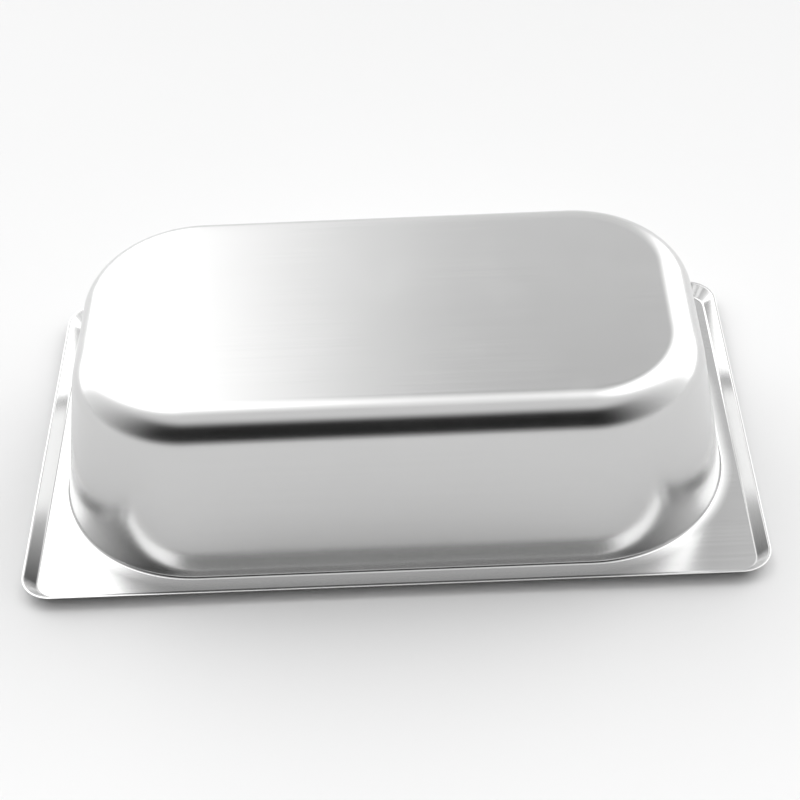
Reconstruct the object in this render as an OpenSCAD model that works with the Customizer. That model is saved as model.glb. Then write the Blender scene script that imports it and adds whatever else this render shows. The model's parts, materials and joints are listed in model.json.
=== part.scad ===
// Quarter-size food pan, drawn in one piece from stainless sheet.
// The opening faces +Z, the length runs along X, and the origin is the middle of the base.

/* [Overall size] */
// Length over the rim, along X
rim_length = 265; // [200:1:400]
// Width over the rim, along Y
rim_width = 162; // [140:1:330]
// Height from the base to the top of the rim
pan_depth = 65; // [40:1:150]
// Thickness of the sheet
sheet = 0.8; // [0.5:0.1:1]

/* [Tub] */
// Slope of the walls from upright, in degrees, so that pans nest
wall_draft = 9.9; // [4:0.1:12]
// Plan radius of the upright corners, taken where the wall meets the rim
corner_radius = 53.7; // [40:0.1:58]
// Outside radius between the base and the walls
base_radius = 13.7; // [8:0.1:20]
// Radius under the rim, between the wall and the rim
rim_blend = 1.3; // [0.8:0.1:3]

/* [Rim] */
// Width of the whole rim, from the wall to the outer edge
rim_shelf = 9.5; // [9:0.1:12]
// How far the sloped lip reaches out from its fold
lip_reach = 4.7; // [3.5:0.1:5]
// How steeply the lip turns down from the flat, in degrees
lip_angle = 49; // [35:1:60]
// Radius inside the fold
fold_radius = 1.2; // [0.4:0.1:1.5]
// Plan radius of the rim's outer corners
lip_corner_radius = 11.5; // [8:0.1:14]

/* [Hidden] */
$fn = 120;

// An arc is this much over its tangent size, so that it crosses its lines instead of only touching them.
tangent_ease = 0.002;
// Two pieces of one surface overlap by this much.
lap = 0.8;
// How far a cutting patch runs past the metal.
clear = 1;
under_rim = pan_depth - sheet;
fold_start = lip_corner_radius - lip_reach;

function unit(angle) = [cos(angle), sin(angle)];

// What a rounded corner lacks: the stretch between an arc and the square corner a step beyond it.
module corner_patch(centre, radius, step, from, to) {
    half = (to - from) / 2;
    reach = radius + step;
    difference() {
        polygon([
            centre,
            centre + reach * unit(from),
            centre + reach / cos(half) * unit(from + half),
            centre + reach * unit(to)
        ]);
        translate(centre) circle(r = radius + tangent_ease);
    }
}

// A bend in a sharp-cornered strip: fills the corner on the near side, then rounds the far side.
module bend(centre, radius, from, to) {
    difference() {
        union() {
            children();
            corner_patch(centre, radius, sheet / 2, from, to);
        }
        corner_patch(centre, radius + sheet, clear, from, to);
    }
}

// The tub's section from the corner axis out to the start of the rim.
module tub_section() {
    rim_centre = [corner_radius, under_rim - rim_blend];
    function wall(z) =
        corner_radius + ((z - rim_centre.y) * sin(wall_draft) - rim_blend) / cos(wall_draft);
    skin = sheet / cos(wall_draft);
    base_centre = [wall(base_radius) - base_radius / cos(wall_draft), base_radius];
    rim_end = corner_radius + 2 * lap;
    bend(rim_centre, rim_blend, 90, 180 - wall_draft)
        bend(base_centre, base_radius - sheet, -90, -wall_draft)
            polygon([
                [0, 0],
                [wall(0), 0],
                [wall(under_rim), under_rim],
                [rim_end, under_rim],
                [rim_end, pan_depth],
                [wall(pan_depth) - skin, pan_depth],
                [wall(sheet) - skin, sheet],
                [0, sheet]
            ]);
}

// The lip's section, from just inside its fold to the cut edge, which is level with the rim.
module lip_section() {
    mitre = tan(lip_angle / 2);
    slope_start = fold_start + sheet * mitre;
    edge_height = pan_depth - (lip_corner_radius - slope_start) * tan(lip_angle);
    edge_start = fold_start + (under_rim - edge_height) / tan(lip_angle);
    fold_centre = [fold_start - fold_radius * mitre, under_rim - fold_radius];
    bend(fold_centre, fold_radius, 90 - lip_angle, 90)
        polygon([
            [fold_start - 2 * lap, under_rim],
            [fold_start, under_rim],
            [edge_start, edge_height],
            [lip_corner_radius, edge_height],
            [slope_start, pan_depth],
            [fold_start - 2 * lap, pan_depth]
        ]);
}

// Carries a section round a rounded rectangle whose corner axes stand at (half_x, half_y).
module around(half_x, half_y) {
    for (quarter = [0:3]) {
        side = quarter % 2 == 0 ? [half_x, half_y] : [half_y, half_x];
        rotate(90 * quarter) {
            translate(side) rotate_extrude(angle = 90) children();
            translate(side) rotate([90, 0, 0]) linear_extrude(2 * side.y) children();
        }
    }
}

// A rounded rectangle in plan, given where its corner axes stand.
module plate_outline(axes, radius) {
    square([2 * (axes.x + radius), 2 * axes.y], center = true);
    square([2 * axes.x, 2 * (axes.y + radius)], center = true);
    for (x = [-axes.x, axes.x], y = [-axes.y, axes.y]) translate([x, y]) circle(r = radius);
}

module pan() {
    edge = [rim_length / 2, rim_width / 2];
    inset = rim_shelf + corner_radius;
    tub_axes = edge - [inset, inset];
    lip_axes = edge - [lip_corner_radius, lip_corner_radius];
    color("silver") union() {
        around(tub_axes.x, tub_axes.y) tub_section();
        translate([-tub_axes.x, -tub_axes.y, 0]) cube([2 * tub_axes.x, 2 * tub_axes.y, sheet]);
        translate([0, 0, under_rim]) linear_extrude(sheet) difference() {
            plate_outline(lip_axes, fold_start - lap);
            plate_outline(tub_axes, corner_radius + lap);
        }
        around(lip_axes.x, lip_axes.y) lip_section();
    }
}

pan();
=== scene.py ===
import json
import math

import bmesh
import bpy
import numpy as np
from mathutils import Euler, Matrix, Vector


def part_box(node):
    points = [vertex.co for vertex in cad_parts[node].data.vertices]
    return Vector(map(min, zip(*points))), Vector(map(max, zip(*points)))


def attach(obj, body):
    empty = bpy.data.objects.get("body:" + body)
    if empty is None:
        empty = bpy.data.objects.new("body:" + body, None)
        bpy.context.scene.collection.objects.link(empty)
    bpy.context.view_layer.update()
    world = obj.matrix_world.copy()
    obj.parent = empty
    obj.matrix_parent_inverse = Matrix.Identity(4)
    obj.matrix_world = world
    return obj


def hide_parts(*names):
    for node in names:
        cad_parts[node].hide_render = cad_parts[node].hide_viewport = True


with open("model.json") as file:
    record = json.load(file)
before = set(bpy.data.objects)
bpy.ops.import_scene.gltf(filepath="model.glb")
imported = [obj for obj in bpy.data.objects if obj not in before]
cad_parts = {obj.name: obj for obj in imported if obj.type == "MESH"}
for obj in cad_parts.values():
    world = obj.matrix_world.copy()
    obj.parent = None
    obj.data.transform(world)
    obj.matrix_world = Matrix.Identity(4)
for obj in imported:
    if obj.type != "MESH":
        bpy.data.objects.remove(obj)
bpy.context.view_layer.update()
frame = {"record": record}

# Everything is in metres and in the CAD's frame: the base on z = 0, the opening up, the length along X.
MM = 0.001


# ---- Sizes -------------------------------------------------------------------------------------

def mount_height(name):
    return next(m["pos_m"][2] for m in frame["record"]["mounts"] if m["name"] == name)


low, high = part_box("pan")
HALF_SIZE = np.array([high.x - low.x, high.y - low.y]) / 2
DEPTH = mount_height("rim_top")
UNDER_RIM = mount_height("rim_support")
SHEET = DEPTH - UNDER_RIM

# The tub
WALL_DRAFT = math.radians(9.9)
CORNER_RADIUS = 53.7 * MM
BASE_RADIUS = 13.7 * MM
RIM_BLEND = 1.3 * MM
# The rim. Beside the blend, its flange still rises a little towards the tub.
EASE_RADIUS = 36 * MM
EASE_ANGLE = math.radians(6)
RIM_SHELF = 9.5 * MM
FOLD_RADIUS = 1.2 * MM
LIP_REACH = 4.5 * MM
LIP_ANGLE = math.radians(49)
LIP_CORNER_RADIUS = 11.5 * MM
# The cut edge is level and a little crowned. Its inner corner is rolled over by the cut, and its outer
# one is only deburred.
EDGE_CROWN = math.radians(14)
EDGE_ROLL = 0.5 * MM
EDGE_DEBURR = 0.15 * MM
# The lip's corners are gathered: shallow folds that run out from the rim's fold to the cut edge. They
# grow with the distance from the rim's fold and from a corner's two ends. Two waves make them up, each
# with its number in a full turn, its shift from one corner of the pan to the next, and its share.
GATHER_HEIGHT = 0.012 * MM
GATHER_GROWTH = 1.5
GATHER_WAVES = ((46, 1.7, 1.0), (28.52, 2.3, 0.6))

TUB_AXES = HALF_SIZE - (RIM_SHELF + CORNER_RADIUS)
LIP_AXES = HALF_SIZE - LIP_CORNER_RADIUS

# Mesh steps: round a corner of the pan, along its sides and ends, and across its section
CORNER_STEPS = 56
LONG_STEPS = 44
SHORT_STEPS = 12
BASE_BEND_STEPS = 18
WALL_STEPS = 10
BLEND_STEPS = 12
EASE_STEPS = 6
FLANGE_STEPS = 4
FOLD_STEPS = 8
LIP_STEPS = 5
ROLL_STEPS = 6
CROWN_STEPS = 6
DEBURR_STEPS = 8

# Points closer together than WELD become one, and edges shorter than SHORTEST_EDGE are dissolved.
WELD = 0.002 * MM
SHORTEST_EDGE = 0.001 * MM


# ---- The pan's mesh ----------------------------------------------------------------------------

QUARTER = math.pi / 2


def unit(angle):
    return np.array([math.cos(angle), math.sin(angle)])


ACROSS_LIP = unit(QUARTER - LIP_ANGLE)


class Ring:
    """One closed line round the pan.

    at is its place in section: how far out from the corner axes, and how high. normal is the surface's
    normal there. lip is 0 for a line round the tub's corner axes and 1 for one round the lip's. In
    between, the line is a blend of two others, and outs says how far out they are, the one from the
    tub's axes and the other from the lip's.
    """

    def __init__(self, at, normal, lip=0.0, outs=None):
        self.at = np.asarray(at, float)
        self.normal = np.asarray(normal, float)
        self.lip = lip
        self.outs = outs or (self.at[0], self.at[0])


def arc(centre, radius, start, stop, steps, lip=0.0, hollow=False):
    """Rings along an arc of the section. On its hollow side the surface faces the arc's centre."""
    rings = []
    for angle in np.linspace(start, stop, steps + 1):
        outward = unit(angle)
        rings.append(Ring(centre + radius * outward, -outward if hollow else outward, lip))
    return rings


def between(first, last, steps):
    """The rings strictly between two others, on a straight stretch of the section."""
    rings = []
    for share in np.linspace(0, 1, steps + 1)[1:-1]:
        at = first.at + (last.at - first.at) * share
        outs = None
        if first.lip != last.lip:
            outs = (first.at[0], last.at[0]) if last.lip else (last.at[0], first.at[0])
        rings.append(Ring(at, first.normal, first.lip + (last.lip - first.lip) * share, outs))
    return rings


def tub_arcs():
    """The centres, in section, of the bend above the base, the blend under the rim and the rim's ease."""
    ease_out = CORNER_RADIUS + (EASE_RADIUS - RIM_BLEND) * math.sin(EASE_ANGLE)
    ease_centre = np.array([ease_out, UNDER_RIM - EASE_RADIUS])
    blend_centre = ease_centre + (EASE_RADIUS - RIM_BLEND) * unit(QUARTER + EASE_ANGLE)
    rise = BASE_RADIUS - blend_centre[1]
    wall_out = blend_centre[0] + (rise * math.sin(WALL_DRAFT) - RIM_BLEND) / math.cos(WALL_DRAFT)
    base_centre = np.array([wall_out - BASE_RADIUS / math.cos(WALL_DRAFT), BASE_RADIUS])
    return base_centre, blend_centre, ease_centre


def lip_corners():
    """How far out the fold is, and the cut edge's two corners in section before they are rounded."""
    fold_out = LIP_CORNER_RADIUS - LIP_REACH
    outer_start = fold_out + SHEET * math.tan(LIP_ANGLE / 2)
    # The sharp corner stands outside the rim by as much as deburring takes off.
    outer_out = LIP_CORNER_RADIUS + EDGE_DEBURR * (1 / math.tan(LIP_ANGLE / 2) - 1)
    edge_height = DEPTH - (outer_out - outer_start) * math.tan(LIP_ANGLE)
    inner_out = fold_out + (UNDER_RIM - edge_height) / math.tan(LIP_ANGLE)
    return fold_out, np.array([inner_out, edge_height]), np.array([outer_out, edge_height])


def crown(start, stop):
    """The cut edge between its rounded corners: a shallow arc that bulges downwards."""
    radius = np.linalg.norm(stop - start) / 2 / math.sin(EDGE_CROWN)
    centre = (start + stop) / 2 + np.array([0, radius * math.cos(EDGE_CROWN)])
    return arc(centre, radius, -QUARTER - EDGE_CROWN, EDGE_CROWN - QUARTER, CROWN_STEPS, lip=1)[1:-1]


def cut_edge(inner, outer):
    """The rings of the cut edge, from the lip's inner face to its outer one."""
    # A rounded corner's centre lies on the line that halves it.
    roll_centre = inner + EDGE_ROLL * np.array([1 / math.tan((2 * QUARTER - LIP_ANGLE) / 2), 1])
    deburr_centre = outer + EDGE_DEBURR * np.array([-1 / math.tan(LIP_ANGLE / 2), 1])
    roll = arc(roll_centre, EDGE_ROLL, -QUARTER - LIP_ANGLE, -QUARTER - EDGE_CROWN, ROLL_STEPS, lip=1)
    deburr = arc(deburr_centre, EDGE_DEBURR, EDGE_CROWN - QUARTER, QUARTER - LIP_ANGLE, DEBURR_STEPS,
                 lip=1)
    return roll + crown(roll[-1].at, deburr[0].at) + deburr


def pan_section():
    """The sheet's whole outline in section: out under the base to the lip's edge, and back inside."""
    base_centre, blend_centre, ease_centre = tub_arcs()
    fold_out, inner, outer = lip_corners()
    fold_centre = np.array([fold_out - FOLD_RADIUS * math.tan(LIP_ANGLE / 2), UNDER_RIM - FOLD_RADIUS])
    # The angles of the arcs' ends, seen from their centres
    flat_up, flat_down, wall_in = QUARTER, -QUARTER, 2 * QUARTER - WALL_DRAFT
    eased, lip_out = QUARTER + EASE_ANGLE, QUARTER - LIP_ANGLE
    down, up = (0, -1), (0, 1)
    shares = (0, 0.35, 0.7)
    stretches = [
        [Ring((base_centre[0] * share, 0), down) for share in shares],
        arc(base_centre, BASE_RADIUS, flat_down, -WALL_DRAFT, BASE_BEND_STEPS),
        arc(blend_centre, RIM_BLEND, wall_in, eased, BLEND_STEPS, hollow=True),
        arc(ease_centre, EASE_RADIUS, eased, flat_up, EASE_STEPS, hollow=True)[1:],
        arc(fold_centre, FOLD_RADIUS, flat_up, lip_out, FOLD_STEPS, lip=1, hollow=True),
        cut_edge(inner, outer),
        arc(fold_centre, FOLD_RADIUS + SHEET, lip_out, flat_up, FOLD_STEPS, lip=1),
        arc(ease_centre, EASE_RADIUS + SHEET, flat_up, eased, EASE_STEPS)[:-1],
        arc(blend_centre, RIM_BLEND + SHEET, eased, wall_in, BLEND_STEPS),
        arc(base_centre, BASE_RADIUS - SHEET, -WALL_DRAFT, flat_down, BASE_BEND_STEPS, hollow=True),
        [Ring((base_centre[0] * share, SHEET), up) for share in reversed(shares)],
    ]
    outside_steps = [1, WALL_STEPS, 1, FLANGE_STEPS, LIP_STEPS]
    rings = list(stretches[0])
    for previous, stretch, steps in zip(stretches, stretches[1:], outside_steps + outside_steps[::-1]):
        rings += between(previous[-1], stretch[0], steps) + stretch
    return rings


def stations():
    """Where sections stand round the pan: each one's share of the corner axes' place, and its facing."""
    found = []
    corners = [(1, 1), (-1, 1), (-1, -1), (1, -1)]
    for number, corner in enumerate(corners):
        turn = number * QUARTER
        for step in range(CORNER_STEPS + 1):
            found.append((*corner, turn + QUARTER * step / CORNER_STEPS))
        following = corners[(number + 1) % 4]
        steps = LONG_STEPS if number % 2 == 0 else SHORT_STEPS
        for step in range(1, steps):
            place = np.array(corner) + (np.array(following) - corner) * step / steps
            found.append((*place, turn + QUARTER))
    return np.array(found)


def gather(facing, free):
    """How far the lip stands off its even slope. The folds are deepest midway round a corner."""
    # The small number keeps a corner's first station with its own corner.
    corner = np.floor(facing / QUARTER + 1e-6)
    middle = np.sin(2 * facing) ** 2
    wave = sum(share * np.sin(number * facing + shift * corner) for number, shift, share in GATHER_WAVES)
    return GATHER_HEIGHT * free ** GATHER_GROWTH * middle ** GATHER_GROWTH * wave


def ring_points(ring, places):
    """A ring's points and normals at all the stations."""
    turn = places[:, 2]
    facing = np.stack([np.cos(turn), np.sin(turn)], axis=1)
    on_tub = places[:, :2] * TUB_AXES + facing * ring.outs[0]
    on_lip = places[:, :2] * LIP_AXES + facing * ring.outs[1]
    flat = on_tub + (on_lip - on_tub) * ring.lip
    points = np.column_stack([flat, np.full(len(flat), ring.at[1])])
    normals = np.column_stack([facing * ring.normal[0], np.full(len(flat), ring.normal[1])])
    if ring.lip == 1:
        points, normals = gather_lip(ring, turn, facing, points, normals)
    return points, normals


def gather_lip(ring, turn, facing, points, normals):
    """Lifts one ring of the lip by its gathers, and tips its normals to suit."""
    past_fold = (UNDER_RIM - ring.at[1]) / (LIP_REACH * math.tan(LIP_ANGLE))
    free = min(max(past_fold, 0), 1)
    across = np.column_stack([facing * ACROSS_LIP[0], np.full(len(turn), ACROSS_LIP[1])])
    round_lip = np.column_stack([-facing[:, 1], facing[:, 0], np.zeros(len(turn))])
    small = 0.001
    slope = (gather(turn + small, free) - gather(turn - small, free)) / (2 * small * ring.at[0])
    points = points + across * gather(turn, free)[:, None]
    faces_out = (normals * across).sum(axis=1)
    return points, normals - round_lip * (slope * faces_out)[:, None]


def base_grid(points, count, first, flip, faces):
    """Fills the rectangle between the four corner axes with a grid that shares the ring's own points."""
    corner = CORNER_STEPS + 1
    long_start = corner - 1
    short_start = long_start + LONG_STEPS + corner - 1
    half = count // 2
    far = [first + long_start + i for i in range(LONG_STEPS + 1)]
    left = [first + short_start + i for i in range(SHORT_STEPS + 1)]
    near = [first + (long_start + half + i) % count for i in range(LONG_STEPS + 1)]
    right = [first + (short_start + half + i) % count for i in range(SHORT_STEPS + 1)]
    height = points[first][2]
    index, extra = {}, []
    for i in range(LONG_STEPS + 1):
        for j in range(SHORT_STEPS + 1):
            if j == 0:
                index[i, j] = far[i]
            elif j == SHORT_STEPS:
                index[i, j] = near[LONG_STEPS - i]
            elif i == LONG_STEPS:
                index[i, j] = left[j]
            elif i == 0:
                index[i, j] = right[SHORT_STEPS - j]
            else:
                across = 1 - 2 * np.array([i / LONG_STEPS, j / SHORT_STEPS])
                index[i, j] = len(points) + len(extra)
                extra.append((*(TUB_AXES * across), height))
    for i in range(LONG_STEPS):
        for j in range(SHORT_STEPS):
            quad = (index[i, j], index[i + 1, j], index[i + 1, j + 1], index[i, j + 1])
            faces.append(quad[::-1] if flip else quad)
    return np.array(extra)


def pan_surface():
    """Points, normals and faces of the whole sheet."""
    rings, places = pan_section(), stations()
    count = len(places)
    blocks = [ring_points(ring, places) for ring in rings]
    points = np.concatenate([block[0] for block in blocks])
    normals = np.concatenate([block[1] for block in blocks])
    faces = []
    for r in range(len(rings) - 1):
        for s in range(count):
            t = (s + 1) % count
            faces.append((r * count + s, r * count + t, (r + 1) * count + t, (r + 1) * count + s))
    for first, flip, up in ((0, True, -1.0), ((len(rings) - 1) * count, False, 1.0)):
        extra = base_grid(points, count, first, flip, faces)
        points = np.concatenate([points, extra])
        normals = np.concatenate([normals, np.tile((0, 0, up), (len(extra), 1))])
    return points, normals, faces


def make_pan():
    points, normals, faces = pan_surface()
    mesh = bpy.data.meshes.new("pan_sheet")
    mesh.from_pydata(points.tolist(), [], faces)
    weld_axes(mesh, normals)
    pan = bpy.data.objects.new("pan_sheet", mesh)
    bpy.context.scene.collection.objects.link(pan)
    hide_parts("pan")
    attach(pan, "root")
    mesh.materials.append(satin_stainless())


def weld_axes(mesh, normals):
    """The rings that start on the corner axes have many points in one place, which become one."""
    bm = bmesh.new()
    bm.from_mesh(mesh)
    layer = bm.verts.layers.float_vector.new("surface_normal")
    for vert, normal in zip(bm.verts, normals):
        vert[layer] = normal
    bmesh.ops.remove_doubles(bm, verts=bm.verts, dist=WELD)
    bmesh.ops.dissolve_degenerate(bm, edges=bm.edges, dist=SHORTEST_EDGE)
    bm.normal_update()
    bm.to_mesh(mesh)
    bm.free()
    mesh.shade_smooth()
    kept = np.zeros(len(mesh.vertices) * 3, np.float32)
    mesh.attributes["surface_normal"].data.foreach_get("vector", kept)
    kept = kept.reshape(-1, 3)
    kept /= np.linalg.norm(kept, axis=1)[:, None]
    mesh.normals_split_custom_set_from_vertices(kept.tolist())
    mesh.attributes.remove(mesh.attributes["surface_normal"])


# ---- Shader helpers ----------------------------------------------------------------------------

class Nodes:
    """Short ways to add shader nodes and join them."""

    def __init__(self, tree):
        self.tree = tree

    def join(self, value, socket):
        if isinstance(value, bpy.types.NodeSocket):
            self.tree.links.new(value, socket)
        else:
            socket.default_value = value

    def add(self, kind, **inputs):
        node = self.tree.nodes.new(kind)
        for name, value in inputs.items():
            self.join(value, node.inputs[name.replace("_", " ")])
        return node

    def math(self, operation, *values):
        node = self.tree.nodes.new("ShaderNodeMath")
        node.operation = operation
        for value, socket in zip(values, node.inputs):
            self.join(value, socket)
        return node.outputs[0]

    def plus(self, value, *extras):
        """Adds others to a value, each of them times the number that comes with it."""
        for extra, size in extras:
            value = self.math("ADD", value, self.math("MULTIPLY", extra, size))
        return value

    def ramp(self, value, start, stop, low=0.0, high=1.0):
        """Goes smoothly from low to high as value goes from start to stop."""
        limits = {"From_Min": start, "From_Max": stop, "To_Min": low, "To_Max": high}
        node = self.add("ShaderNodeMapRange", Value=value, **limits)
        node.interpolation_type = "SMOOTHSTEP"
        return node.outputs[0]

    def blend(self, share, first, second):
        """The first value where share is 0 and the second where it is 1."""
        return self.add("ShaderNodeMix", Factor=share, A=first, B=second).outputs[0]

    def noise(self, place, scale, detail):
        """Noise from 0 to 1. The scale is one number, or one for each axis."""
        if isinstance(scale, tuple):
            place = self.add("ShaderNodeMapping", Vector=place, Scale=scale).outputs["Vector"]
            scale = 1.0
        return self.add("ShaderNodeTexNoise", Vector=place, Scale=scale, Detail=detail).outputs["Fac"]


# ---- Materials ---------------------------------------------------------------------------------

# Noises on the steel and the table, each with its scale for a metre and its detail. The satin finish's
# grain and its coarser brushing run along the pan's length.
GRAIN = ((60.0, 2600.0, 2600.0), 3.0)
BRUSHING = ((14.0, 900.0, 900.0), 4.0)
HANDLING = ((35.0, 28.0, 40.0), 5.0)
CLOUD = (22.0, 3.0)
TABLE_MOTTLE = (9.0, 3.0)
# Marks of handling start where their noise passes the first of these, and are full at the second.
HANDLED = (0.5, 0.72)

STEEL_TONE = 0.6
BRUSHING_LIGHTENS = 0.035
CLOUD_LIGHTENS = 0.02
# The steel's blue, as a share of its red and green
STEEL_BLUE = 0.998
STEEL_ROUGHNESS = 0.17
CLOUD_ROUGHENS = 0.04
BRUSHING_ROUGHENS = 0.04
HANDLING_ROUGHENS = 0.02
# The relief is half grain and half brushing.
RELIEF_STRENGTH = 0.25
RELIEF_DEPTH = 0.004 * MM

# The table's tone is painted light and shade: paler near the camera and darker away from it, to even out
# how the tent's light falls on it. It changes between two places along y, the painted fade's two ends,
# which are in metres from the pan's middle.
TABLE_NEAR_PAINTED_LIGHT = 0.88
TABLE_FAR_PAINTED_SHADE = 0.775
TABLE_PAINTED_LIGHT_FADE = (-0.35, 0.5)
MOTTLE_LIGHTENS = 0.01
TABLE_ROUGHNESS = 0.5
TABLE_SHINE = 0.15


def start_material(name):
    """A material with its nodes, its shader's inputs and its place in the object's own frame."""
    material = bpy.data.materials.new(name)
    material.use_nodes = True
    n = Nodes(material.node_tree)
    shader = material.node_tree.nodes["Principled BSDF"].inputs
    place = n.add("ShaderNodeTexCoord").outputs["Object"]
    return material, n, shader, place


def satin_stainless():
    """Drawn stainless sheet with a fine satin grain along the pan's length."""
    material, n, shader, place = start_material("satin_stainless")
    grain = n.noise(place, *GRAIN)
    brushing = n.noise(place, *BRUSHING)
    cloud = n.noise(place, *CLOUD)
    handling = n.ramp(n.noise(place, *HANDLING), *HANDLED)

    rough = n.plus(STEEL_ROUGHNESS, (cloud, CLOUD_ROUGHENS), (brushing, BRUSHING_ROUGHENS),
                   (handling, HANDLING_ROUGHENS))
    tone = n.plus(STEEL_TONE, (brushing, BRUSHING_LIGHTENS), (cloud, CLOUD_LIGHTENS))
    blue = n.math("MULTIPLY", tone, STEEL_BLUE)
    colour = n.add("ShaderNodeCombineColor", Red=tone, Green=tone, Blue=blue)
    relief = n.math("ADD", n.math("MULTIPLY", grain, 0.5), n.math("MULTIPLY", brushing, 0.5))
    bump = n.add("ShaderNodeBump", Height=relief, Strength=RELIEF_STRENGTH, Distance=RELIEF_DEPTH)

    n.join(colour.outputs["Color"], shader["Base Color"])
    n.join(rough, shader["Roughness"])
    n.join(bump.outputs["Normal"], shader["Normal"])
    n.join(1, shader["Metallic"])
    return material


def pale_table_painted_light():
    """A matt, nearly white table top, with painted light and shade: paler near the camera, darker away.
    """
    material, n, shader, place = start_material("pale_table_painted_light")
    away = n.add("ShaderNodeSeparateXYZ", Vector=place).outputs["Y"]
    # Painted light and shade: the tone fades from paler near the camera to darker away from it.
    tone = n.ramp(away, *TABLE_PAINTED_LIGHT_FADE, TABLE_NEAR_PAINTED_LIGHT, TABLE_FAR_PAINTED_SHADE)
    tone = n.plus(tone, (n.noise(place, *TABLE_MOTTLE), MOTTLE_LIGHTENS))
    colour = n.add("ShaderNodeCombineColor", Red=tone, Green=tone, Blue=tone)
    n.join(colour.outputs["Color"], shader["Base Color"])
    n.join(TABLE_ROUGHNESS, shader["Roughness"])
    n.join(TABLE_SHINE, shader["Specular IOR Level"])
    return material


# ---- Studio ------------------------------------------------------------------------------------
# In the studio's own frame the table is at the bottom: x to the right, y away from the camera, z up. The
# studio turns half over whenever the camera is below the pan's middle. So the pan lies upside down on
# its rim in the photo's view, and stands on its base in a view from above.

# The camera, fitted to the pan's outline with the pan lying on its rim. The angles are in radians.
CAMERA_PLACE = Vector((8.19, -515.1, 485.5)) * MM
CAMERA_TILT = 0.7350
CAMERA_TURN = 0.0124
CAMERA_ROLL = -0.0484
CAMERA_SENSOR = 36
CAMERA_LENS = 83.118
CAMERA_SHIFT = (-0.01662, -0.00404)

# The floor's half size, in metres
FLOOR_REACH = 4

# Brightness of the light tent's parts
WINDOW = 2.45
TENT_SIDE = 1.33
TENT_DARK = 0.015
FRONT_HORIZON = 0.56
CEILING_FRONT = 0.9
CEILING_BACK = 1.14
SEEN_BACKGROUND = 0.93
# The walls straight behind, low down and higher up, as shares of the walls beside them
BEHIND_LOW = 0.64
BEHIND_HIGH = 0.39
# The ceiling straight above, as a share of the rest of it
ZENITH_SHARE = 0.85
# Where each part starts and ends, in degrees. These are off the tent's middle plane, which is itself
# turned a little to the right.
TENT_TURN = 7.5
BEHIND_WIDE = (30, 62)
WALLS_DARKEN = (55, 160)
CEILING_DARKENS = (40, 130)
HORIZON_WIDE = (95, 150)
# These are up from the table.
HORIZON_FADES = (0, 15)
BEHIND_DARKENS = (33, 48)
CEILING_STARTS = (49, 71)
ZENITH_NEARS = (78, 90)
WINDOWS_END = (68, 82)
# These are to the right of straight behind: the left and the right edge of each window.
LEFT_WINDOW = ((-72, -58), (-20, 3))
RIGHT_WINDOW = ((14, 32), (70, 84))


def turn_with_camera(camera, owner, path):
    """Turns the owner half over about x whenever the camera is below the pan's middle."""
    driver = owner.driver_add(path, 0).driver
    height = driver.variables.new()
    height.name = "height"
    height.type = "TRANSFORMS"
    height.targets[0].id = camera
    height.targets[0].transform_type = "LOC_Z"
    height.targets[0].transform_space = "WORLD_SPACE"
    driver.expression = f"pi if height < {DEPTH / 2:.6f} else 0"


def make_camera():
    """The pan is seen lying upside down, so the camera stands below it with its own top turned down."""
    turned_over = Matrix.Translation((0, 0, DEPTH)) @ Matrix.Rotation(math.pi, 4, "X")
    level = Euler((QUARTER - CAMERA_TILT, 0, 0)).to_matrix().to_4x4()
    look = Matrix.Rotation(CAMERA_TURN, 4, "Z") @ Matrix.Translation(CAMERA_PLACE) @ level
    data = bpy.data.cameras.new("camera")
    data.sensor_width = CAMERA_SENSOR
    data.lens = CAMERA_LENS
    data.shift_x, data.shift_y = CAMERA_SHIFT
    camera = bpy.data.objects.new("camera", data)
    camera.matrix_world = turned_over @ look @ Matrix.Rotation(CAMERA_ROLL, 4, "Z")
    bpy.context.scene.collection.objects.link(camera)
    bpy.context.scene.camera = camera
    return camera


def make_floor(camera):
    studio = bpy.data.objects.new("studio", None)
    studio.location = (0, 0, DEPTH / 2)
    bpy.context.scene.collection.objects.link(studio)
    turn_with_camera(camera, studio, "rotation_euler")
    corners = [(-1, -1), (1, -1), (1, 1), (-1, 1)]
    points = [(x * FLOOR_REACH, y * FLOOR_REACH, -DEPTH / 2) for x, y in corners]
    mesh = bpy.data.meshes.new("floor")
    mesh.from_pydata(points, [], [(0, 1, 2, 3)])
    mesh.materials.append(pale_table_painted_light())
    floor = bpy.data.objects.new("floor", mesh)
    floor.parent = studio
    bpy.context.scene.collection.objects.link(floor)


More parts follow.
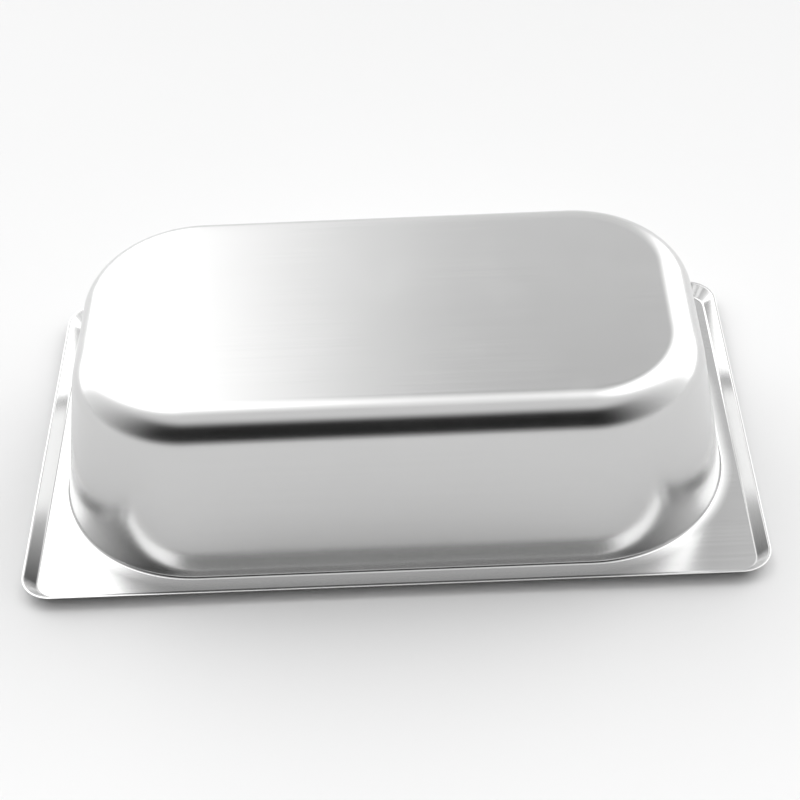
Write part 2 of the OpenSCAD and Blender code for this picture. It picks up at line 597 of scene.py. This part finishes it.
def tent_light(n, side, rise):
    """Brightness of the tent by direction, in degrees: side is to the right of straight behind, and rise
    is up from the table."""
    off = n.math("ABSOLUTE", n.math("SUBTRACT", side, TENT_TURN))
    # The walls darken towards the open front, and are greyer straight behind, the more so higher up.
    walls = n.ramp(off, *WALLS_DARKEN, TENT_SIDE, TENT_DARK)
    behind = n.ramp(rise, *BEHIND_DARKENS, BEHIND_LOW, BEHIND_HIGH)
    walls = n.math("MULTIPLY", walls, n.ramp(off, *BEHIND_WIDE, behind, 1.0))
    # In the open front there is some light along the horizon.
    horizon = n.ramp(rise, *HORIZON_FADES, FRONT_HORIZON, 0.0)
    walls = n.math("ADD", walls, n.math("MULTIPLY", n.ramp(off, *HORIZON_WIDE), horizon))
    ceiling = n.ramp(off, *CEILING_DARKENS, CEILING_BACK, CEILING_FRONT)
    ceiling = n.math("MULTIPLY", ceiling, n.ramp(rise, *ZENITH_NEARS, 1.0, ZENITH_SHARE))
    light = n.blend(n.ramp(rise, *CEILING_STARTS), walls, ceiling)
    # Two windows, left and right behind the pan
    windows = n.math("ADD", window(n, side, *LEFT_WINDOW), window(n, side, *RIGHT_WINDOW))
    windows = n.math("MULTIPLY", windows, n.ramp(rise, *WINDOWS_END, 1.0, 0.0))
    return n.blend(windows, light, WINDOW)


def window(n, side, left_edge, right_edge):
    """1 inside a window's soft left and right edges, and 0 outside."""
    return n.math("MULTIPLY", n.ramp(side, *left_edge), n.ramp(side, *right_edge, 1.0, 0.0))


def light_tent(camera):
    """A pale tent round the table, open and dark towards the camera."""
    world = bpy.data.worlds.new("light_tent")
    bpy.context.scene.world = world
    world.use_nodes = True
    tree = world.node_tree
    n = Nodes(tree)
    turned = n.add("ShaderNodeMapping", Vector=n.add("ShaderNodeTexCoord").outputs["Generated"])
    turn_with_camera(camera, turned.inputs["Rotation"], "default_value")
    x, y, z = n.add("ShaderNodeSeparateXYZ", Vector=turned.outputs["Vector"]).outputs
    degrees = 180 / math.pi
    side = n.math("MULTIPLY", n.math("ARCTAN2", x, y), degrees)
    rise = n.math("MULTIPLY", n.math("ARCSINE", z), degrees)
    seen = n.add("ShaderNodeLightPath").outputs["Is Camera Ray"]
    light = n.blend(seen, tent_light(n, side, rise), SEEN_BACKGROUND)
    n.join(light, tree.nodes["Background"].inputs["Color"])


make_pan()
photo_camera = make_camera()
make_floor(photo_camera)
light_tent(photo_camera)
bpy.context.scene.view_settings.view_transform = "Standard"
